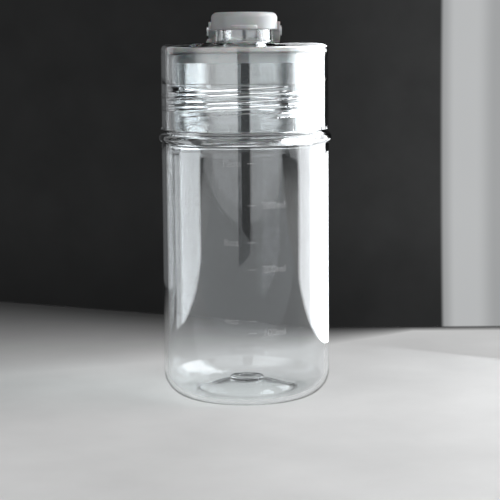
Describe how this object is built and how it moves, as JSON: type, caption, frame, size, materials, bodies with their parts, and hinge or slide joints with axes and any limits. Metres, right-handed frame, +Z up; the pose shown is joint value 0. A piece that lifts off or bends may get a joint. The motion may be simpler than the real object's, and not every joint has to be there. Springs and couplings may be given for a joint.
{
  "type": "protein shaker bottle",
  "caption": "Clear cylindrical shaker cup with a raised base and a beaded shoulder, and a screw lid with a spout, flip cap, carry loop and mixing grid.",
  "frame": {"origin": "centre of the flat ring that the cup stands on", "axes": "+Z up along the cup's axis, -Y towards the front with the scale and the spout, +X to the right seen from the front"},
  "size_m": [0.0752, 0.0752, 0.167],
  "materials": {
    "clear_cup": "clear, glossy, injection moulded",
    "clear_lid": "clear, glossy, injection moulded",
    "scale_print": "pale moulded or printed marks",
    "silicone": "translucent matt silicone",
    "natural_plastic": "translucent natural plastic",
    "frosted_cap": "translucent frosted plastic",
    "steel_pin": "turned stainless steel"
  },
  "bodies": {
    "cup": {"cup": "clear_cup", "scale_ticks": "scale_print"},
    "seal_ring": {"lid_gasket": "silicone"},
    "lid": {"screw_lid": "clear_lid", "vent_valve": "silicone", "hinge_pin": "steel_pin"},
    "cap": {"flip_cap": "frosted_cap", "spout_seal": "silicone"},
    "loop": {"carry_loop": "frosted_cap"},
    "grid": {"mixing_grid": "natural_plastic"}
  },
  "joints": [
    {"name": "lid_lift", "type": "slide", "parent": "cup", "child": "seal_ring", "axis": [0, 0, 1], "range_m": [0, 0.0365]},
    {"name": "lid_turn", "type": "hinge", "parent": "seal_ring", "child": "lid", "pos_m": [0, 0, 0.15], "axis": [0, 0, 1], "range_deg": [0, 1200]},
    {"name": "cap_flip", "type": "hinge", "parent": "lid", "child": "cap", "pos_m": [0, 0.009, 0.1596], "axis": [-1, 0, 0], "range_deg": [0, 120]},
    {"name": "loop_swing", "type": "hinge", "parent": "lid", "child": "loop", "pos_m": [0, 0.009, 0.1596], "axis": [1, 0, 0], "range_deg": [0, 90]},
    {"name": "grid_pull", "type": "slide", "parent": "lid", "child": "grid", "axis": [0, 0, -1], "range_m": [0, 0.02]}
  ],
  "couplings": [
    {"joint": "lid_lift", "follows": "lid_turn", "m_per_rad": 0.0017189}
  ]
}
